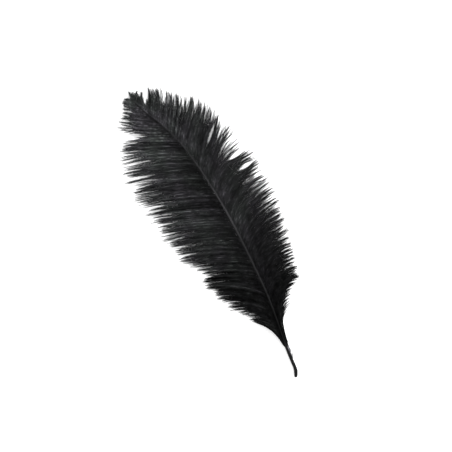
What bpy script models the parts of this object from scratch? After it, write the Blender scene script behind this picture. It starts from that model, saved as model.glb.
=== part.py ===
"""Ostrich feather, lying front side up on a flat surface.

The feather runs along +Y, from the cut end of its quill to its tip, and +Z is up. Its shaft,
quill and rachis, is one grown piece, swept along a gently bowed line. A vane of barbs grows from
each side of the shaft. Each vane is a closed solid that fills the space its barbs take up: it
arches away from the shaft, lies flat on the surface along its outer part, and its edge runs out
to a point at the end of every lock of barbs.
"""

import math

import bmesh
import bpy
import numpy as np

MM = 0.001

# The shaft's centre line: distance along the shaft, then X, Y and Z, all in millimetres.
SHAFT_ROUTE = (
    (0, -12.3, -148.4, 1.8),
    (6, -9.5, -143.3, 1.8),
    (18, -7.6, -131.3, 2.0),
    (32, -5.5, -117.8, 2.7),
    (57, -0.6, -93.3, 4.8),
    (82, 3.2, -68.8, 7.2),
    (109, 5.7, -41.3, 9.4),
    (134, 7.4, -16.3, 10.8),
    (162, 8.5, 11.7, 11.6),
    (188, 8.1, 37.7, 11.6),
    (217, 6.4, 66.7, 10.6),
    (242, 2.5, 91.2, 8.8),
    (263, -3.5, 111.0, 6.8),
    (281, -10.3, 127.7, 5.0),
    (298, -15.1, 143.7, 3.4),
)
QUILL_RADIUS = 1.55 * MM
RACHIS_TAPER = 0.86  # share of the quill's radius lost at the tip
TAPER_POWER = 1.4
# The cut end of the quill: distance from the end, and radius, both in millimetres.
CUT_END = ((0.0, 1.0), (0.8, 1.4), (3.0, 1.6), (6.0, 1.75), (9.0, 1.6))
SHAFT_RINGS = 54
SHAFT_BEVEL_STEPS = 3

# Barbs of each vane: distance of the root along the shaft in millimetres, angle at the root
# and angle at the tip in degrees from the shaft, extra curl of the tip, and length.
LEFT_BARBS = (
    (30, 3, 54, 0, 35),
    (37, 5, 64, 0, 36),
    (44, 9, 74, 0, 39),
    (52, 15, 80, 0, 45),
    (62, 24, 78, 0, 50),
    (74, 34, 76, 0, 53),
    (90, 46, 76, 0, 55),
    (99, 50, 76, 0, 49),
    (108, 53, 76, 0, 55),
    (118, 55, 76, 0, 61),
    (140, 58, 74, 0, 66),
    (175, 57, 70, 0, 70),
    (205, 52, 68, 0, 69),
    (225, 48, 62, 0, 62),
    (245, 42, 52, 0, 50),
    (262, 34, 36, 0, 38),
    (278, 22, 24, 0, 23),
    (298, 6, 14, 0, 6),
)
RIGHT_BARBS = (
    (30, 2, 16, 64, 36),
    (38, 3, 18, 72, 37),
    (46, 5, 24, 76, 38),
    (54, 8, 36, 68, 40),
    (62, 13, 60, 42, 40),
    (74, 20, 84, 16, 41),
    (90, 26, 90, 6, 43),
    (112, 32, 88, 2, 49),
    (140, 34, 84, 6, 53),
    (160, 35, 82, 8, 53),
    (175, 36, 80, 10, 51),
    (190, 38, 74, 6, 49),
    (200, 40, 62, -8, 51),
    (208, 41, 59, -14, 52),
    (216, 42, 58, -18, 52),
    (225, 44, 61, -20, 48),
    (245, 48, 60, -26, 39),
    (262, 50, 54, -22, 30),
    (276, 46, 42, -6, 22),
    (284, 36, 38, 0, 17),
    (298, 12, 34, 0, 6),
)
BEND_POWER = 1.6  # how early along its length a barb makes its bend
CURL_POWER = 3.5  # how late it makes the extra curl
LOCKS = 30  # locks of barbs in each vane
LOCK_NOTCH = 0.14  # share of a barb's length between two locks
SPLIT_NOTCH = 0.42  # the same where the vane has parted
SPLIT_REACH = 3 * MM  # how near a split a strand lies to be in it
LEFT_SPLITS = (218 * MM, 249 * MM, 274 * MM)
RIGHT_SPLITS = (171 * MM, 186 * MM, 206 * MM, 279 * MM)

# Heights of a vane.
VANE_GAP = 0.3 * MM  # clear of the shaft
BARB_ARCH = 3.5 * MM  # rise of a barb above a straight line from shaft to tip
FLUFF_ABOVE_ROOT = 1.0 * MM  # barbules over their barb
FLUFF_ABOVE_TIP = 1.6 * MM
FLUFF_BELOW_ROOT = 1.6 * MM  # barbules under their barb, down to the surface it lies on
FLUFF_BELOW_TIP = 5.5 * MM
STEPS = 7  # along a barb
BARB_SAMPLES = 28  # integration steps of a barb's bend, a multiple of STEPS


def clear_scene():
    for obj in list(bpy.data.objects):
        bpy.data.objects.remove(obj, do_unlink=True)


def make_collection(name):
    collection = bpy.data.collections.new(name)
    bpy.context.scene.collection.children.link(collection)
    return collection


def make_material(name, color, roughness):
    material = bpy.data.materials.new(name)
    material.use_nodes = True
    shader = material.node_tree.nodes["Principled BSDF"]
    shader.inputs["Base Color"].default_value = (*color, 1.0)
    shader.inputs["Roughness"].default_value = roughness
    shader.inputs["Metallic"].default_value = 0.0
    return material


def smooth(keys, where):
    """Values of a smooth curve through keys, whose first column is the place along it."""
    table = np.array(keys, dtype=float)
    places, values = table[:, 0], table[:, 1:]
    slopes = np.gradient(values, places, axis=0)
    i = int(np.clip(np.searchsorted(places, where) - 1, 0, len(places) - 2))
    step = places[i + 1] - places[i]
    f = np.clip((where - places[i]) / step, 0.0, 1.0)
    start = (2 * f**3 - 3 * f**2 + 1) * values[i] + (f**3 - 2 * f**2 + f) * step * slopes[i]
    end = (3 * f**2 - 2 * f**3) * values[i + 1] + (f**3 - f**2) * step * slopes[i + 1]
    return start + end


def shaft_point(s):
    return smooth(SHAFT_ROUTE, s / MM) * MM


def shaft_heading(s):
    """Direction of the shaft in plan, as an angle clockwise from +Y."""
    reach = 1 * MM
    along = shaft_point(min(s + reach, shaft_length())) - shaft_point(max(s - reach, 0))
    return math.atan2(along[0], along[1])


def shaft_length():
    return SHAFT_ROUTE[-1][0] * MM


def shaft_radius(s):
    if s / MM < CUT_END[-1][0]:
        distances, radii = zip(*CUT_END)
        return float(np.interp(s / MM, distances, radii)) * MM
    return QUILL_RADIUS * (1 - RACHIS_TAPER * (s / shaft_length()) ** TAPER_POWER)


def shaft_stations():
    """Distances along the shaft of its rings, closer together at the cut end."""
    cut = [distance * MM for distance, _ in CUT_END]
    return cut + list(np.linspace(cut[-1], shaft_length(), SHAFT_RINGS)[1:])


def make_shaft(collection):
    stations = shaft_stations()
    curve = bpy.data.curves.new("shaft", "CURVE")
    curve.dimensions = "3D"
    curve.bevel_depth = QUILL_RADIUS
    curve.bevel_resolution = SHAFT_BEVEL_STEPS
    curve.use_fill_caps = True
    spline = curve.splines.new("POLY")
    spline.points.add(len(stations) - 1)
    for point, s in zip(spline.points, stations):
        point.co = (*shaft_point(s), 1.0)
        point.radius = shaft_radius(s) / QUILL_RADIUS
    spline.use_smooth = True
    shaft = bpy.data.objects.new("shaft", curve)
    shaft.data.materials.append(make_material("shaft", (0.020, 0.020, 0.022), 0.35))
    collection.objects.link(shaft)


def strand_share(index, s, splits):
    """Share of its full length that a strand of the vane's edge keeps."""
    if index % 2:
        return 1.0
    if any(abs(s - split) < SPLIT_REACH for split in splits):
        return 1 - SPLIT_NOTCH
    return 1 - LOCK_NOTCH


def barb_line(side, barbs, s, share):
    """Plan of the barb that grows at s: STEPS + 1 points from its root to its tip."""
    root_angle, tip_angle, curl, length = smooth(barbs, s / MM)
    heading = shaft_heading(s)
    offset = shaft_radius(s) + VANE_GAP
    root = shaft_point(s)[:2] + side * offset * np.array([math.cos(heading), -math.sin(heading)])
    middles = (np.arange(BARB_SAMPLES) + 0.5) / BARB_SAMPLES
    bend = root_angle + (tip_angle - root_angle) * (1 - (1 - middles) ** BEND_POWER)
    angles = heading + side * np.radians(bend + curl * middles**CURL_POWER)
    steps = np.column_stack([np.sin(angles), np.cos(angles)]) * length * MM * share / BARB_SAMPLES
    points = np.vstack([root, root + np.cumsum(steps, axis=0)])
    return points[:: BARB_SAMPLES // STEPS]


def barb_height(s, u):
    """Height of a barb that grows at s, u of the way along it."""
    return shaft_point(s)[2] * (1 - u) + BARB_ARCH * 4 * u * (1 - u)


def vane_top(s, u):
    return barb_height(s, u) + FLUFF_ABOVE_ROOT + (FLUFF_ABOVE_TIP - FLUFF_ABOVE_ROOT) * u


def vane_bottom(s, u):
    """Height of the vane's lower face, which lies flat on the surface towards the tips."""
    below = FLUFF_BELOW_ROOT + (FLUFF_BELOW_TIP - FLUFF_BELOW_ROOT) * u
    return max(0.0, barb_height(s, u) - below)


def make_vane(collection, name, side, barbs, splits):
    """One grid, with a row for each strand and a column for each step, made thick."""
    strands = 2 * LOCKS
    mesh = bmesh.new()
    bmesh.ops.create_grid(mesh, x_segments=strands, y_segments=STEPS, size=0.5)
    places = np.linspace(barbs[0][0], barbs[-1][0], strands + 1) * MM
    lines = [
        barb_line(side, barbs, s, strand_share(i, s, splits)) for i, s in enumerate(places)
    ]
    cells = {
        vertex: (round((vertex.co.x + 0.5) * strands), round((vertex.co.y + 0.5) * STEPS))
        for vertex in mesh.verts
    }
    for vertex, (i, j) in cells.items():
        vertex.co = (*lines[i][j], vane_top(places[i], j / STEPS))
    upper = list(mesh.verts)
    copied = bmesh.ops.duplicate(mesh, geom=mesh.faces[:])
    for vertex in upper:
        i, j = cells[vertex]
        copied["vert_map"][vertex].co.z = vane_bottom(places[i], j / STEPS)
    rims = [edge for edge in mesh.edges if edge.is_boundary]
    bmesh.ops.bridge_loops(mesh, edges=rims)
    bmesh.ops.recalc_face_normals(mesh, faces=mesh.faces)
    data = bpy.data.meshes.new(name)
    mesh.to_mesh(data)
    mesh.free()
    data.shade_smooth()
    data.materials.append(make_material(name, (0.012, 0.012, 0.014), 0.75))
    collection.objects.link(bpy.data.objects.new(name, data))


def main():
    clear_scene()
    feather = make_collection("ostrich_feather")
    make_shaft(feather)
    make_vane(feather, "left_vane", -1, LEFT_BARBS, LEFT_SPLITS)
    make_vane(feather, "right_vane", 1, RIGHT_BARBS, RIGHT_SPLITS)


main()
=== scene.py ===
"""The looks of a black ostrich feather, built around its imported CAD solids.

Every barb is a thin tapering ribbon with soft barbules along both of its edges. The barbs grow
from the shaft, bend outwards, cling together in strands and locks, part here and there, and lie
down on the floor.

Lengths are in millimetres until a mesh is built. A place in a vane is given by s, the distance
along the shaft at which a barb grows, and u, the share of the barb's length.
"""

import math
from typing import NamedTuple

import bpy
import numpy as np
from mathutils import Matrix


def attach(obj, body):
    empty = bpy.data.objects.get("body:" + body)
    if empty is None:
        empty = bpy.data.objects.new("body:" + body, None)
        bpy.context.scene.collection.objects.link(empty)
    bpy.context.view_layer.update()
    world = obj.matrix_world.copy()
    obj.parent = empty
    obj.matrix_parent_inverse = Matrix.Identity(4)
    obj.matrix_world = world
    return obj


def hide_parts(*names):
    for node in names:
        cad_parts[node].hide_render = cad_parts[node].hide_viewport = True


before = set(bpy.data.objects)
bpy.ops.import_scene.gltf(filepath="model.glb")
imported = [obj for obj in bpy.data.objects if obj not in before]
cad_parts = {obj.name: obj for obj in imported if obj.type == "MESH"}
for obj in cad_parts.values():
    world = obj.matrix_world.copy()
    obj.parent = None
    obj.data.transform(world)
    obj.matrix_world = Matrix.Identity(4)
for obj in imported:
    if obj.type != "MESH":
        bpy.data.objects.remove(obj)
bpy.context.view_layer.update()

MM = 0.001
UP = np.array([0.0, 0.0, 1.0])
LEFT, RIGHT = -1, 1

# The shaft's centre line: distance along the shaft, then X, Y and Z.
SHAFT_ROUTE = (
    (0, -12.3, -148.4, 1.8),
    (6, -9.5, -143.3, 1.8),
    (18, -7.6, -131.3, 2.0),
    (32, -5.5, -117.8, 2.7),
    (57, -0.6, -93.3, 4.8),
    (82, 3.2, -68.8, 7.2),
    (109, 5.7, -41.3, 9.4),
    (134, 7.4, -16.3, 10.8),
    (162, 8.5, 11.7, 11.6),
    (188, 8.1, 37.7, 11.6),
    (217, 6.4, 66.7, 10.6),
    (242, 2.5, 91.2, 8.8),
    (263, -3.5, 111.0, 6.8),
    (281, -10.3, 127.7, 5.0),
    (298, -15.1, 143.7, 3.4),
)
SHAFT_LENGTH = SHAFT_ROUTE[-1][0]
QUILL_RADIUS = 1.55
RACHIS_TAPER = 0.86  # share of the quill's radius lost at the tip
TAPER_POWER = 1.4

# Barbs of each vane: s, angle at the root and angle at the tip in degrees from the shaft, extra
# curl of the tip, and length.
LEFT_BARBS = (
    (30, 2, 38, 22, 33),
    (37, 4, 56, 14, 32.5),
    (41, 7, 66, 8, 33),
    (45, 10, 74, 0, 29.5),
    (49, 13, 78, 0, 38),
    (52, 15, 80, 0, 45),
    (62, 24, 78, 0, 50),
    (74, 34, 76, 0, 53),
    (90, 46, 76, 0, 52.5),
    (99, 50, 76, 0, 47),
    (108, 53, 76, 0, 55),
    (118, 55, 76, 0, 61),
    (140, 58, 74, 0, 66),
    (175, 57, 70, 0, 70),
    (205, 52, 68, 0, 69),
    (225, 48, 62, 0, 63.5),
    (245, 42, 52, 0, 50),
    (262, 34, 36, 0, 38),
    (270, 28, 30, 0, 30),
    (276, 24, 34, 0, 22),
    (284, 22, 44, 0, 16.5),
    (293, 12, 38, 0, 11),
)
RIGHT_BARBS = (
    (30, 1, 12, 80, 37),
    (38, 2.5, 14, 84, 42.5),
    (46, 4.5, 25, 78, 45),
    (54, 8, 42, 66, 45),
    (62, 13, 66, 38, 42.5),
    (74, 20, 84, 16, 39.5),
    (90, 26, 90, 6, 42),
    (112, 32, 88, 2, 49),
    (140, 34, 84, 6, 53),
    (160, 35, 82, 8, 54),
    (175, 36, 80, 10, 53),
    (190, 38, 74, 6, 51.5),
    (200, 40, 62, -8, 52.5),
    (208, 41, 59, -14, 53),
    (216, 42, 58, -18, 52.5),
    (225, 44, 61, -20, 49),
    (245, 48, 60, -26, 40.5),
    (262, 50, 54, -22, 31.5),
    (276, 48, 50, -6, 23.5),
    (283, 36, 48, 0, 17),
    (288, 22, 40, 0, 14.5),
    (293, 6, 24, 0, 11),
)
BEND_POWER = 1.6  # how early along its length a barb makes its bend
CURL_POWER = 3.5  # how late it makes the extra curl

# Partings of each vane: s, the u where they open, how wide they are, and how far their tips
# close again.
LEFT_PARTINGS = (
    (71, 0.88, 1.2, 0),
    (82, 0.86, 0.8, 0),
    (118, 0.70, 1.6, 0),
    (144, 0.78, 1.2, 0),
    (157, 0.74, 1.2, 0),
    (171, 0.70, 1.4, 0),
    (181, 0.74, 1.4, 0),
    (184.5, 0.42, 1.2, 0.8),
    (191, 0.50, 1.0, 0.8),
    (196, 0.68, 1.2, 0),
    (203, 0.46, 1.7, 0),
    (211, 0.62, 1.2, 0),
    (218, 0.46, 2.2, 0.3),
    (223, 0.52, 1.8, 0),
    (228, 0.56, 1.6, 0),
    (235, 0.64, 1.4, 0),
    (245, 0.44, 2.6, 0),
    (252, 0.58, 2.4, 0),
    (259, 0.66, 1.5, 0),
    (274, 0.42, 5.5, 0),
)
RIGHT_PARTINGS = (
    (84, 0.86, 1.0, 0),
    (98, 0.86, 1.2, 0),
    (112, 0.84, 1.0, 0),
    (127, 0.84, 1.4, 0),
    (136, 0.80, 1.6, 0),
    (145, 0.74, 1.6, 0),
    (151, 0.62, 2.4, 0.5),
    (158, 0.74, 1.6, 0),
    (164, 0.78, 1.8, 0),
    (171, 0.56, 5.5, 0.6),
    (184, 0.52, 4.5, 0),
    (190, 0.56, 2.6, 0),
    (196, 0.60, 1.5, 0),
    (205.5, 0.18, 4.6, 0.85),
    (209.5, 0.50, 2.4, 0.5),
    (215, 0.60, 1.6, 0),
    (228, 0.60, 1.4, 0),
    (236, 0.50, 1.5, 0),
    (242, 0.42, 1.8, 0),
    (248, 0.40, 2.2, 0),
    (255, 0.44, 1.6, 0),
    (262, 0.40, 1.6, 0),
    (278.5, 0.15, 3.8, 0),
)
PARTING_REACH = 4.0  # how far from a parting the barbs make room for it

# Each of these tables has rows of a place s and a value.
# How far the tips stray along the vane from an even fan.
LEFT_STRAY = ((30, 0), (235, 0), (251, 2), (274, 2), (298, 0))
RIGHT_STRAY = (
    (30, 0), (150, 0), (160, -1), (175, -3), (183, -4), (191, 1),
    (200, 1), (212, 0), (240, 1), (275, -2), (298, 0),
)
# How strongly barbs cling together in strands and locks.
LEFT_CLING = ((30, 0.15), (110, 0.3), (150, 0.7), (185, 1.0), (298, 1.0))
RIGHT_CLING = ((30, 0.15), (145, 0.35), (165, 0.8), (298, 1.0))
# Share of the strands that are cut short.
LEFT_THIN = (
    (30, 0.05), (240, 0.1), (246, 0.4), (254, 0.4), (260, 0.1), (280, 0.2), (298, 0.3),
)
RIGHT_THIN = (
    (30, 0.05), (165, 0.05), (170, 0.3), (173, 0.1), (274, 0.1), (276, 0.5), (287, 0.4), (298, 0.3),
)
# Widths of the strands and locks, along the shaft.
STRAND_WIDTHS = ((30, 1.2), (150, 1.4), (215, 2.4), (250, 3.0), (275, 2.6), (280, 1.3))
LOCK_WIDTHS = ((30, 4.0), (298, 7.0))
GROUP_SPREAD = (0.6, 1.4)  # of those widths
# Share of the barbs that belong to no strand.
FREE_BARBS = ((30, 0.45), (170, 0.40), (215, 0.20), (240, 0.12))
# How long the barbules are, beside the longest.
FLUFF = ((30, 0.45), (70, 1.0), (205, 1.0), (240, 0.7))
# How far barbs grow from the shaft's middle, in shares of its radius.
ROOT_OFFSET = ((45, 1.1), (90, 0.5))
# How light the vanes are.
VANE_TONE = (
    (30, 0.0024), (60, 0.0021), (100, 0.0060), (150, 0.0150),
    (215, 0.0185), (270, 0.0295), (298, 0.0415),
)
# How much more the barbs' tones differ at the base.
BASE_CONTRAST = ((70, 2.0), (120, 1.0))
# How light the right vane is at each u, beside its own tone: a painted band of light follows the
# shaft.
RIGHT_PAINTED_LIGHT = ((0, 0.85), (0.06, 1.05), (0.16, 1.75), (0.35, 0.85))

# Growth of the barbs.
BARBS_A_SIDE = 830
BARB_SPACING = ((0, 0.7), (0.36, 0.72), (0.46, 1.0), (1, 1.0))  # closest together at the base
SPACING_NOISE = 0.2
BARB_SHARES = (0.92, 1.04)  # of the full length
STRAND_SHARES = (0.93, 1.04)
LOCK_SHARES = (0.97, 1.03)
SHORT_BARBS = 0.33
SHORT_SHARES = (0.5, 0.97)
CUT_SHARES = (0.5, 0.8)
LOCK_DRIFT = 0.6  # how far along the vane whole locks stray
STRAND_DRIFT = 1.0
STRAND_PULL = (0.4, 0.95)  # how far barbs are drawn to the middle of their strand
FREE_DRIFT = 1.4
BARB_DRIFT = 0.5
TIP_DRIFT = 0.9
SWAY = 0.35
SWAY_TURNS = (5, 14)  # radians along a barb
WEAVE = 0.7  # how far barbs dip under and over their neighbours
WEAVE_TURNS = (12, 34)
SAMPLES = 56  # along the line of each barb

# Heights of the barbs, from the lowest layer to the uppermost.
ROOT_RISE = 0.55  # of the shaft's radius
ARCH_LOWER = -1.0
ARCH_UPPER = 5.5
ARCH_LENGTH = 45  # barbs shorter than this arch less
LOWEST_LINE = 0.5
FLOOR_CLEARANCE = 0.12

# Shape of a barb.
RIBBON_WIDTH = 0.56
ROOT_ROLL = 0.2  # radians that a ribbon turns about its line
TIP_ROLL = 0.5
BARBULE_PITCH = 0.445
BARBULE_HALF_WIDTH = 0.108
INNER_BARBULES = 3.4  # their length
OUTER_BARBULES = 2.3
BARB_FLUFF = (0.8, 1.2)  # shares of that length, barb by barb
BARBULE_SIZES = (0.6, 1.3)  # barbule by barbule
BARBULE_ANGLE = 26  # degrees from the barb, at its tip
INNER_BARBULE_ANGLE = 12  # added near its root
BARBULE_ANGLE_SPREAD = 8
BARBULE_LIFT = 28  # degrees up or down
SHEEN_DASH_DEPTH = 0.5  # how far a ribbon's painted sheen varies along it, in dashes of painted light and shade
SHEEN_DASHES = (2, 7)  # times along a barb

# Soft hairs on the bare quill.
FUZZ_COUNT = 60
FUZZ_SPAN = (16, 44)
FUZZ_RIGHT = 0.9  # share of them on the right
FUZZ_LENGTHS = (2.0, 5.0)
FUZZ_ANGLES = (6, 30)  # degrees from the quill
FUZZ_CURL = 12
FUZZ_STEPS = 8
FUZZ_TONE = (0.04, 0.16)
FUZZ_FLUFF = 0.2

# Colour of the shaft from its quill end to its tip, and greys at shares of the way between; the
# lighter greys from 0.5 to 0.64 are a painted highlight along the shaft.
QUILL_END_COLOUR = (0.006, 0.006, 0.006)
SHAFT_GREYS_AND_PAINTED_HIGHLIGHT = (
    (0.1, 0.006), (0.22, 0.007), (0.31, 0.014), (0.45, 0.016),
    (0.5, 0.032), (0.56, 0.030), (0.64, 0.025), (0.75, 0.018),
)
SHAFT_TIP_COLOUR = (0.022, 0.022, 0.023)
SHAFT_END_Y, SHAFT_TIP_Y = -0.15, 0.15  # in metres

# Grain of the materials.
CAST_SCALE = 55  # patches of a green or violet cast
BARB_GRAIN_SCALE = 900
STREAK_SCALE = 2500
GRAIN_SHADES = (0.6, 1.4)
BARB_ROUGHNESS = (0.42, 0.62)
SHAFT_ROUGHNESS = (0.18, 0.34)

# Map of a vane's plan, and surface map of its meshes.
MAP_STEP = 0.5  # along the shaft
MAP_STEPS = 60  # along the barbs
MAP_END = 1.2  # the greatest u
PIECES_A_SIDE = 4
MAP_COLUMNS = 4  # barbs side by side on a surface map
RIBBON_EDGE = 0.15  # half the height of the ribbon's strip, in a barb's share of the map
BARBULE_BASE, BARBULE_MIDDLE, BARBULE_TIP = 0.17, 0.32, 0.48  # distances from the ribbon's middle


class Habit(NamedTuple):
    """How one vane grows."""

    node: str
    side: int
    barbs: tuple
    partings: tuple
    stray: tuple
    thin: tuple
    cling: tuple
    seed: int
    ribbon_painted_sheen: float  # painted sheen: how much lighter a ribbon is painted than the vane's own tone
    barbule_shade: float
    tone_spread: float  # how far barbs differ in tone


LEFT_HABIT = Habit(
    "left_vane", LEFT, LEFT_BARBS, LEFT_PARTINGS, LEFT_STRAY, LEFT_THIN, LEFT_CLING,
    seed=5, ribbon_painted_sheen=1.65, barbule_shade=0.75, tone_spread=0.7,
)
RIGHT_HABIT = Habit(
    "right_vane", RIGHT, RIGHT_BARBS, RIGHT_PARTINGS, RIGHT_STRAY, RIGHT_THIN, RIGHT_CLING,
    seed=2, ribbon_painted_sheen=1.3, barbule_shade=0.82, tone_spread=0.45,
)
FUZZ_SEED = 5


class Barb(NamedTuple):
    """The mesh of one barb."""

    verts: np.ndarray
    tris: np.ndarray
    places: np.ndarray  # on the surface map
    spots: np.ndarray  # u of each vertex
    # shade holds each ribbon's painted sheen and the barbules' share of the tone.
    shade: np.ndarray


def ease(x):
    x = np.clip(x, 0, 1)
    return x * x * (3 - 2 * x)


def table_at(table, places):
    """Values between the rows of a table of places and values."""
    return np.interp(places, *np.array(table, float).T)


def smooth(keys, where):
    """Values of a smooth curve through keys, whose first column is the place along it."""
    table = np.array(keys, dtype=float)
    places, values = table[:, 0], table[:, 1:]
    slopes = np.gradient(values, places, axis=0)
    where = np.atleast_1d(np.asarray(where, dtype=float))
    i = np.clip(np.searchsorted(places, where) - 1, 0, len(places) - 2)
    step = (places[i + 1] - places[i])[:, None]
    f = np.clip((where[:, None] - places[i][:, None]) / step, 0.0, 1.0)
    start = (2 * f**3 - 3 * f**2 + 1) * values[i] + (f**3 - 2 * f**2 + f) * step * slopes[i]
    end = (3 * f**2 - 2 * f**3) * values[i + 1] + (f**3 - f**2) * step * slopes[i + 1]
    return start + end


def unit(v):
    return v / np.maximum(np.linalg.norm(v, axis=-1, keepdims=True), 1e-9)


def columns(first, second):
    """Two columns, each given as an array or one value for all rows."""
    return np.column_stack(np.broadcast_arrays(first, second))


def shaft_point(s):
    return smooth(SHAFT_ROUTE, s)


def shaft_heading(s):
    """Direction of the shaft in plan, as an angle clockwise from +Y."""
    s = np.atleast_1d(s)
    ahead = shaft_point(np.minimum(s + 1, SHAFT_LENGTH))
    behind = shaft_point(np.maximum(s - 1, 0))
    return np.arctan2(ahead[:, 0] - behind[:, 0], ahead[:, 1] - behind[:, 1])


def shaft_radius(s):
    along_shaft = np.clip(s, 0, SHAFT_LENGTH) / SHAFT_LENGTH
    return QUILL_RADIUS * (1 - RACHIS_TAPER * along_shaft**TAPER_POWER)


class Vane:
    """The fan that a vane's barbs would make if each ran evenly between its neighbours."""

    def __init__(self, side, keys):
        self.keys = keys
        self.first, self.last = keys[0][0], keys[-1][0]
        self.places = np.arange(self.first, self.last + MAP_STEP / 2, MAP_STEP)
        root_angle, tip_angle, curl, length = smooth(keys, self.places).T
        heading = shaft_heading(self.places)
        offset = side * table_at(ROOT_OFFSET, self.places) * shaft_radius(self.places)
        sideways = np.column_stack([np.cos(heading), -np.sin(heading)])
        root = shaft_point(self.places)[:, :2] + offset[:, None] * sideways
        middle = (np.arange(MAP_STEPS) + 0.5) / MAP_STEPS * MAP_END
        bend = 1 - np.clip(1 - middle, 0, 1) ** BEND_POWER
        turn = root_angle[:, None] + (tip_angle - root_angle)[:, None] * bend
        turn += curl[:, None] * middle**CURL_POWER
        angle = heading[:, None] + side * np.radians(turn)
        step = (length * MAP_END / MAP_STEPS)[:, None, None]
        moves = np.stack([np.sin(angle), np.cos(angle)], axis=2) * step
        rest = root[:, None] + np.cumsum(moves, axis=1)
        self.plan = np.concatenate([root[:, None], rest], axis=1)

    def at(self, s, u):
        """Plan positions for arrays s and u of one shape."""
        i = np.clip((s - self.first) / MAP_STEP, 0, len(self.places) - 1.001)
        j = np.clip(u / MAP_END * MAP_STEPS, 0, MAP_STEPS - 0.001)
        i0, j0 = i.astype(int), j.astype(int)
        fi, fj = (i - i0)[..., None], (j - j0)[..., None]
        low = self.plan[i0, j0] * (1 - fj) + self.plan[i0, j0 + 1] * fj
        high = self.plan[i0 + 1, j0] * (1 - fj) + self.plan[i0 + 1, j0 + 1] * fj
        return low * (1 - fi) + high * fi

    def heights(self, s, u, layer):
        """Heights of the barbs that grow at s: layer is 0 for the lowest and 1 for the highest."""
        shaft = (shaft_point(s)[:, 2] + ROOT_RISE * shaft_radius(s))[:, None]
        length = smooth(self.keys, s)[:, 3:4]
        layer = layer[:, None]
        fall = (1 - u.clip(0, 1)) ** (1 + 1.2 * (1 - layer))
        arch = ARCH_LOWER + (ARCH_UPPER - ARCH_LOWER) * layer
        arch = arch * np.clip(length / ARCH_LENGTH, 0.3, 1)
        height = shaft * fall + arch * 4 * u * (1 - u) + (0.6 + 1.6 * layer) * u
        return np.maximum(height, LOWEST_LINE)


def open_partings(s, u, partings):
    """How far barbs that grow at s have moved along the vane to make room for partings."""
    moved = np.zeros(np.broadcast(s, u).shape)
    for place, start, width, closing in partings:
        away = s - place
        near = np.exp(-np.abs(away) / PARTING_REACH) * np.sign(away)
        middle = (start + 1) / 2
        opening = ease((u - start) / (middle - start))
        opening = opening - closing * ease((u - middle) / (1 - middle))
        moved += near * 0.5 * width * opening
    return moved


def groups_of(rng, s, widths):
    """Neighbouring barbs gathered in groups: the number of the group of each barb."""
    limits = [s[0]]
    while limits[-1] < s[-1]:
        limits.append(limits[-1] + table_at(widths, limits[-1]) * rng.uniform(*GROUP_SPREAD))
    return np.searchsorted(limits, s)


def group_means(groups, values):
    return (np.bincount(groups, values) / np.maximum(np.bincount(groups), 1))[groups]


def barb_roots(rng, vane):
    spread = np.cumsum(table_at(BARB_SPACING, np.linspace(0, 1, BARBS_A_SIDE)))
    s = vane.first + (vane.last - vane.first) * spread / spread[-1]
    return np.sort(np.clip(s + rng.normal(0, SPACING_NOISE, len(s)), vane.first, vane.last))


def length_shares(rng, s, strands, locks, thin):
    """Share of its full length that each barb has."""
    n = len(s)
    short = rng.random(n) < SHORT_BARBS
    share = rng.uniform(*BARB_SHARES, n)
    share *= rng.uniform(*STRAND_SHARES, n)[strands]
    share *= rng.uniform(*LOCK_SHARES, n)[locks]
    share[short] *= rng.uniform(*SHORT_SHARES, short.sum())
    cut = rng.random(n)[strands] < table_at(thin, s)
    share[cut] *= rng.uniform(*CUT_SHARES, n)[strands][cut]
    return share


def places_along_vane(rng, habit, s, u, reach, strands, locks):
    """Where each barb runs, as the s of the even barb that it lies over at each u."""
    n = len(s)
    free = rng.random(n) < table_at(FREE_BARBS, s)
    hold = table_at(habit.cling, s)
    drift = table_at(habit.stray, s) + hold * rng.normal(0, LOCK_DRIFT, n)[locks]
    pull = hold * (group_means(strands, s) - s) * rng.uniform(*STRAND_PULL, n)[strands]
    own = np.where(free, rng.normal(0, FREE_DRIFT, n), rng.normal(0, BARB_DRIFT, n))
    sway = rng.normal(0, SWAY, n)[:, None]
    turns = rng.uniform(*SWAY_TURNS, n)[:, None]
    sway = sway * np.sin(turns * reach + rng.uniform(0, 6, n)[:, None])
    strand_drift = hold * rng.normal(0, STRAND_DRIFT, n)[strands]
    tip_drift = rng.normal(0, TIP_DRIFT, n)
    outer = ease((reach - 0.3) / 0.7)
    places = s[:, None] + open_partings(s[:, None], reach, habit.partings)
    places += (drift + own)[:, None] * outer + sway * outer
    places += np.where(free, 0.0, pull)[:, None] * ease((reach - 0.5) / 0.45)
    places += strand_drift[:, None] * ease((reach - 0.5) / 0.5)
    return places + tip_drift[:, None] * ease((u - 0.6) / 0.4)


def grow_barbs(rng, habit):
    """Lines of all the barbs of a vane, with the s and the strand of each."""
    vane = Vane(habit.side, habit.barbs)
    s = barb_roots(rng, vane)
    n = len(s)
    u = np.linspace(0, 1, SAMPLES)[None, :]
    strands = groups_of(rng, s, STRAND_WIDTHS)
    locks = groups_of(rng, s, LOCK_WIDTHS)
    reach = u * length_shares(rng, s, strands, locks, habit.thin)[:, None]
    plan = vane.at(places_along_vane(rng, habit, s, u, reach, strands, locks), reach)
    layer = np.clip(rng.random(n)[strands] * 0.3 + rng.random(n) * 0.75, 0, 1)
    weave = rng.uniform(*WEAVE_TURNS, n)[:, None] * reach
    weave = weave + rng.uniform(0, 2 * np.pi, n)[:, None]
    height = vane.heights(s, reach, layer) + WEAVE * np.sin(weave) * ease(reach / 0.2)
    return s, np.concatenate([plan, height[:, :, None]], axis=2), strands


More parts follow.
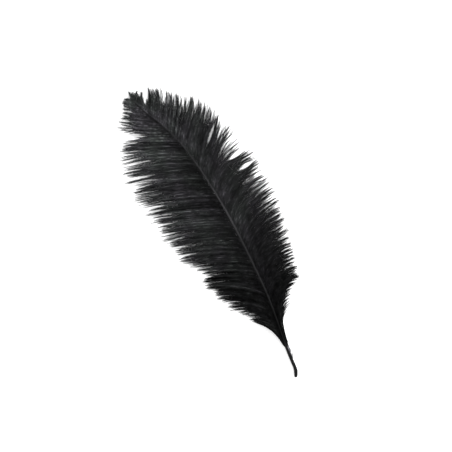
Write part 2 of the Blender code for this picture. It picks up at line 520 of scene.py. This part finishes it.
def grow_fuzz(rng):
    """Lines of the soft hairs along the top of the quill, most of them on its right."""
    lines = []
    u = np.linspace(0, 1, FUZZ_STEPS)
    for s in rng.uniform(*FUZZ_SPAN, FUZZ_COUNT):
        side = RIGHT if rng.random() < FUZZ_RIGHT else LEFT
        start, radius, heading = shaft_point(s)[0], shaft_radius(s), shaft_heading(s)[0]
        turn = rng.uniform(*FUZZ_ANGLES) + rng.normal(0, FUZZ_CURL) * u
        angle = heading + side * np.radians(turn)
        steps = np.column_stack([np.sin(angle), np.cos(angle)])
        steps = steps * rng.uniform(*FUZZ_LENGTHS) / FUZZ_STEPS
        sideways = np.array([math.cos(heading), -math.sin(heading)])
        plan = start[:2] + side * 0.8 * radius * sideways + np.cumsum(steps, axis=0) - steps[0]
        height = start[2] + rng.normal(0, 0.5) * radius + rng.normal(0.3, 0.8) * u
        lines.append(np.column_stack([plan, np.maximum(height, 0.4)]))
    return lines


def barb_tone_and_painted_light(side, s, u):
    """How light a barb is: darkest at the base, with painted shade next to the shaft on the left
    and a painted band of light along the shaft on the right.
    """
    light = table_at(VANE_TONE, s)
    if side == LEFT:
        # Painted shade: the left barbs are painted darker next to the shaft.
        return light * (0.3 + 1.3 * ease(u / 0.5))
    # Painted light: a lighter band is painted along the shaft on the right.
    return light * table_at(RIGHT_PAINTED_LIGHT, u)


def make_barb(line, rng, reach_share, habit):
    """A ribbon along a line, and a barbule of two triangles on each edge at every step."""
    length = np.linalg.norm(np.diff(line, axis=0), axis=1).sum()
    m = max(8, int(length / BARBULE_PITCH))
    u = np.linspace(0, 1, m + 1)
    spacing = np.linspace(0, 1, len(line))
    points = np.column_stack([np.interp(u, spacing, line[:, k]) for k in range(3)])
    heading = unit(np.gradient(points, axis=0))
    level = unit(np.cross(heading, UP))
    roll = rng.normal(0, ROOT_ROLL) + rng.normal(0, TIP_ROLL) * u**2
    sideways = level * np.cos(roll)[:, None] + np.cross(level, heading) * np.sin(roll)[:, None]
    normal = np.cross(sideways, heading)
    half = 0.5 * RIBBON_WIDTH * (0.5 + 0.5 * (1 - u) ** 0.5)
    half = half * (0.2 + 0.8 * ease((1 - u) / 0.1))

    low = np.arange(m)
    high = low + m + 1
    edges = [points - sideways * half[:, None], points + sideways * half[:, None]]
    verts = edges[:]
    tris = [
        np.column_stack([low, low + 1, high + 1]),
        np.column_stack([low, high + 1, high]),
    ]
    places = [columns(u, 0.5 - RIBBON_EDGE), columns(u, 0.5 + RIBBON_EDGE)]
    spots = [u, u]
    count = 2 * m + 2

    middle = (u[1:] + u[:-1]) / 2
    inner = 1 - ease((middle - 0.35) / 0.45)
    reach = OUTER_BARBULES + (INNER_BARBULES - OUTER_BARBULES) * inner
    reach = reach * ease((middle * length + 0.6) / 3.0)
    reach = reach * (0.2 + 0.8 * ease((1 - middle) / 0.35)) * reach_share
    width = (BARBULE_HALF_WIDTH * (1.0 + 0.3 * inner))[:, None]
    for edge, way in zip(edges, (LEFT, RIGHT)):
        base = (edge[1:] + edge[:-1]) / 2
        size = (reach * rng.uniform(*BARBULE_SIZES, m))[:, None]
        angle = BARBULE_ANGLE + INNER_BARBULE_ANGLE * inner
        opened = np.radians(angle + rng.normal(0, BARBULE_ANGLE_SPREAD, m))[:, None]
        lift = np.radians(rng.normal(0, BARBULE_LIFT, m))[:, None]
        ahead = heading[:-1]
        out = sideways[:-1] * way * np.cos(lift) + normal[:-1] * np.sin(lift)
        bend = base + (ahead * np.cos(opened) + out * np.sin(opened)) * (0.45 * size)
        closing = opened / 2
        tip = bend + (ahead * np.cos(closing) + out * np.sin(closing)) * (0.55 * size)
        across = (ahead * np.sin(opened) - out * np.cos(opened)) * width
        verts += [base, bend - across, bend + across, tip]
        places += [
            columns(middle, 0.5 + way * BARBULE_BASE),
            columns(u[:-1], 0.5 + way * BARBULE_MIDDLE),
            columns(u[1:], 0.5 + way * BARBULE_MIDDLE),
            columns(middle, 0.5 + way * BARBULE_TIP),
        ]
        spots += [middle] * 4
        start, behind, before, end = (count + low + k * m for k in range(4))
        count += 4 * m
        tris += [
            np.column_stack([start, before, behind]),
            np.column_stack([behind, before, end]),
        ]

    verts = np.concatenate(verts)
    verts[:, 2] = np.maximum(verts[:, 2], FLOOR_CLEARANCE)
    # Painted sheen: the ribbon is painted lighter than its barbules, in dashes of painted light and
    # shade along it, fading out towards the tip.
    sheen_waves = rng.uniform(*SHEEN_DASHES) * 2 * np.pi * u + rng.uniform(0, 2 * np.pi)
    painted_ribbon_sheen = 1 + (habit.ribbon_painted_sheen - 1) * (1 - ease((u - 0.6) / 0.3))
    shade = np.full(len(verts), habit.barbule_shade)
    shade[: 2 * m + 2] = np.tile(painted_ribbon_sheen * (1 + SHEEN_DASH_DEPTH * np.sin(sheen_waves)), 2)
    return Barb(verts, np.concatenate(tris), np.concatenate(places), np.concatenate(spots), shade)


def build_piece(name, barbs, tones, material, node):
    """One mesh of many barbs, from arrays. Each barb has its own cell of the surface map."""
    verts = np.concatenate([barb.verts for barb in barbs]) * MM
    starts = np.cumsum([0] + [len(barb.verts) for barb in barbs[:-1]])
    tris = np.concatenate([barb.tris + start for barb, start in zip(barbs, starts)])
    rows = -(-len(barbs) // MAP_COLUMNS)
    maps = []
    for i, barb in enumerate(barbs):
        row, column = divmod(i, MAP_COLUMNS)
        maps.append((barb.places + (column, row)) / (MAP_COLUMNS, rows))
    maps = np.concatenate(maps)
    mesh = bpy.data.meshes.new(name)
    mesh.vertices.add(len(verts))
    mesh.vertices.foreach_set("co", verts.astype(np.float32).ravel())
    mesh.loops.add(tris.size)
    mesh.loops.foreach_set("vertex_index", tris.astype(np.int32).ravel())
    mesh.polygons.add(len(tris))
    mesh.polygons.foreach_set("loop_start", np.arange(0, tris.size, 3, dtype=np.int32))
    mesh.polygons.foreach_set("loop_total", np.full(len(tris), 3, dtype=np.int32))
    layer = mesh.uv_layers.new(name="OFBake")
    layer.data.foreach_set("uv", maps[tris.ravel()].astype(np.float32).ravel())
    # The tone of each vertex is the barb's own grey, with painted shade, painted light and painted
    # sheen mixed in.
    attribute = mesh.attributes.new("tone", "FLOAT", "POINT")
    attribute.data.foreach_set("value", np.concatenate(tones).astype(np.float32))
    mesh.update(calc_edges=True)
    mesh.validate()
    mesh.materials.append(material)
    piece = bpy.data.objects.new(name, mesh)
    bpy.context.scene.collection.objects.link(piece)
    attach(piece, "root")
    if node:
        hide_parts(node)


def build_vane(habit, material):
    rng = np.random.default_rng(habit.seed)
    s, lines, strands = grow_barbs(rng, habit)
    own = rng.uniform(-1, 1, len(s))
    own = 1 + habit.tone_spread * (own + 0.3 * rng.uniform(-1, 1, len(s))[strands])
    barbs, tones = [], []
    for place, line, share in zip(s, lines, own):
        fluff = rng.uniform(*BARB_FLUFF) * table_at(FLUFF, place)
        barb = make_barb(line, rng, fluff, habit)
        share = max(share, 0.05) ** table_at(BASE_CONTRAST, place)
        barbs.append(barb)
        tones.append(barb_tone_and_painted_light(habit.side, place, barb.spots) * barb.shade * share)
    for k, group in enumerate(np.array_split(np.arange(len(barbs)), PIECES_A_SIDE)):
        first, last = group[0], group[-1] + 1
        name = f"{habit.node}_barbs_{k + 1}"
        build_piece(name, barbs[first:last], tones[first:last], material, habit.node)


def build_fuzz(material):
    rng = np.random.default_rng(FUZZ_SEED)
    # The hairs take the right vane's painted sheen along their ribbons.
    barbs = [make_barb(line, rng, FUZZ_FLUFF, RIGHT_HABIT) for line in grow_fuzz(rng)]
    tones = [rng.uniform(*FUZZ_TONE) * barb.shade for barb in barbs]
    build_piece("quill_fuzz", barbs, tones, material, None)


class Nodes:
    """A new node material, its Principled shader and the nodes that its surface is made of."""

    def __init__(self, name, specular):
        self.material = bpy.data.materials.new(name)
        self.material.use_nodes = True
        self.tree = self.material.node_tree
        self.shader = self.tree.nodes["Principled BSDF"]
        self.shader.inputs["Specular IOR Level"].default_value = specular

    def add(self, kind, linked, **values):
        """A new node, with inputs linked to other nodes' outputs or set to values."""
        node = self.tree.nodes.new(kind)
        for socket, source in linked.items():
            self.tree.links.new(source, node.inputs[socket])
        for socket, value in values.items():
            node.inputs[socket.replace("_", " ")].default_value = value
        return node

    def place(self):
        return self.add("ShaderNodeTexCoord", {}).outputs["Object"]

    def noise(self, vector, scale):
        return self.add("ShaderNodeTexNoise", {"Vector": vector}, Scale=scale).outputs["Fac"]

    def ranged(self, value, low, high):
        node = self.add("ShaderNodeMapRange", {"Value": value}, To_Min=low, To_Max=high)
        return node.outputs["Result"]

    def ramp(self, value, stops):
        node = self.add("ShaderNodeValToRGB", {"Fac": value})
        elements = node.color_ramp.elements
        for element, (position, colour) in zip((elements[0], elements[-1]), (stops[0], stops[-1])):
            element.position = position
            element.color = (*colour, 1)
        for position, colour in stops[1:-1]:
            elements.new(position).color = (*colour, 1)
        return node.outputs["Color"]

    def scaled(self, vector, scale):
        node = self.add("ShaderNodeVectorMath", {})
        node.operation = "SCALE"
        self.tree.links.new(vector, node.inputs[0])
        self.tree.links.new(scale, node.inputs["Scale"])
        return node.outputs["Vector"]

    def product(self, first, second):
        node = self.add("ShaderNodeMath", {0: first, 1: second})
        node.operation = "MULTIPLY"
        return node.outputs["Value"]

    def surface(self, colour, grain, roughness, bump_strength):
        """The shader's colour, and its roughness and bump from a grain."""
        bump = self.add(
            "ShaderNodeBump", {"Height": grain}, Strength=bump_strength, Distance=0.1 * MM
        )
        for socket, source in (
            ("Base Color", colour),
            ("Roughness", self.ranged(grain, *roughness)),
            ("Normal", bump.outputs["Normal"]),
        ):
            self.tree.links.new(source, self.shader.inputs[socket])
        return self.material


def barb_material():
    """Dyed black down: each barb has its own grey, with painted shade, painted light and painted
    sheen carried in its tone, and a faint green and violet cast.
    """
    nodes = Nodes("barbs", specular=0.055)
    tone = nodes.add("ShaderNodeAttribute", {})
    tone.attribute_name = "tone"
    place = nodes.place()
    cast = nodes.ramp(
        nodes.noise(place, CAST_SCALE), ((0.35, (0.93, 1.03, 0.98)), (0.65, (1.02, 0.98, 1.10)))
    )
    fine = nodes.noise(place, BARB_GRAIN_SCALE)
    depth = nodes.product(tone.outputs["Fac"], nodes.ranged(fine, *GRAIN_SHADES))
    return nodes.surface(nodes.scaled(cast, depth), fine, BARB_ROUGHNESS, bump_strength=0.3)


def shaft_material():
    """Dyed keratin with a soft gloss, blackest at the quill, with a painted highlight of lighter
    grey around its middle and fine streaks along it.
    """
    nodes = Nodes("shaft_keratin", specular=0.07)
    place = nodes.place()
    parts = nodes.add("ShaderNodeSeparateXYZ", {"Vector": place})
    position = nodes.add(
        "ShaderNodeMapRange",
        {"Value": parts.outputs["Y"]},
        From_Min=SHAFT_END_Y,
        From_Max=SHAFT_TIP_Y,
    )
    # The ramp's lighter greys around the middle are a painted highlight along the shaft.
    stops = [(spot, (grey, grey, grey * 1.04)) for spot, grey in SHAFT_GREYS_AND_PAINTED_HIGHLIGHT]
    stops = [(0, QUILL_END_COLOUR), *stops, (1, SHAFT_TIP_COLOUR)]
    along_shaft = nodes.ramp(position.outputs["Result"], stops)
    stretch = nodes.add("ShaderNodeMapping", {"Vector": place}, Scale=(1, 0.06, 1))
    streaks = nodes.noise(stretch.outputs["Vector"], STREAK_SCALE)
    colour = nodes.scaled(along_shaft, nodes.ranged(streaks, *GRAIN_SHADES))
    return nodes.surface(colour, streaks, SHAFT_ROUGHNESS, bump_strength=0.15)


def make_floor():
    bpy.ops.mesh.primitive_plane_add(size=6, location=(0, 0, 0))
    floor = bpy.context.object
    floor.name = "floor"
    nodes = Nodes("floor", specular=0.0)
    for socket, value in (
        ("Base Color", (0.9, 0.9, 0.9, 1)),
        ("Roughness", 0.9),
        ("Emission Color", (1, 1, 1, 1)),
        ("Emission Strength", 0.35),
    ):
        nodes.shader.inputs[socket].default_value = value
    floor.data.materials.append(nodes.material)


def area_light(name, location, size, power):
    """A round lamp that faces the origin."""
    data = bpy.data.lights.new(name, "AREA")
    data.shape = "DISK"
    data.size = size
    data.energy = power
    lamp = bpy.data.objects.new(name, data)
    lamp.location = location
    x, y, z = location
    lamp.rotation_euler = (math.atan2(math.hypot(x, y), z), 0, math.atan2(-x, y) + math.pi)
    bpy.context.scene.collection.objects.link(lamp)


def make_camera():
    """Looks straight down, with the feather's tip to the upper left."""
    height, view_width, turn = 1.6, 0.4068, 30.2
    data = bpy.data.cameras.new("camera")
    data.sensor_width = 36
    data.lens = data.sensor_width * height / view_width
    camera = bpy.data.objects.new("camera", data)
    camera.location = (0.0017, 0.0007, height)
    camera.rotation_euler = (0, 0, -math.radians(turn))
    bpy.context.scene.collection.objects.link(camera)
    bpy.context.scene.camera = camera


def make_world():
    world = bpy.data.worlds.new("studio")
    bpy.context.scene.world = world
    world.use_nodes = True
    background = world.node_tree.nodes["Background"]
    background.inputs["Color"].default_value = (1, 1, 1, 1)
    background.inputs["Strength"].default_value = 1.0
    bpy.context.scene.view_settings.view_transform = "Standard"


barbs_look = barb_material()
for habit in (LEFT_HABIT, RIGHT_HABIT):
    build_vane(habit, barbs_look)
build_fuzz(barbs_look)

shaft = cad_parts["shaft"]
shaft.data.materials.clear()
shaft.data.materials.append(shaft_material())

make_floor()
make_world()
area_light("key", location=(0.85, 0.1, 1.05), size=0.3, power=18)
make_camera()
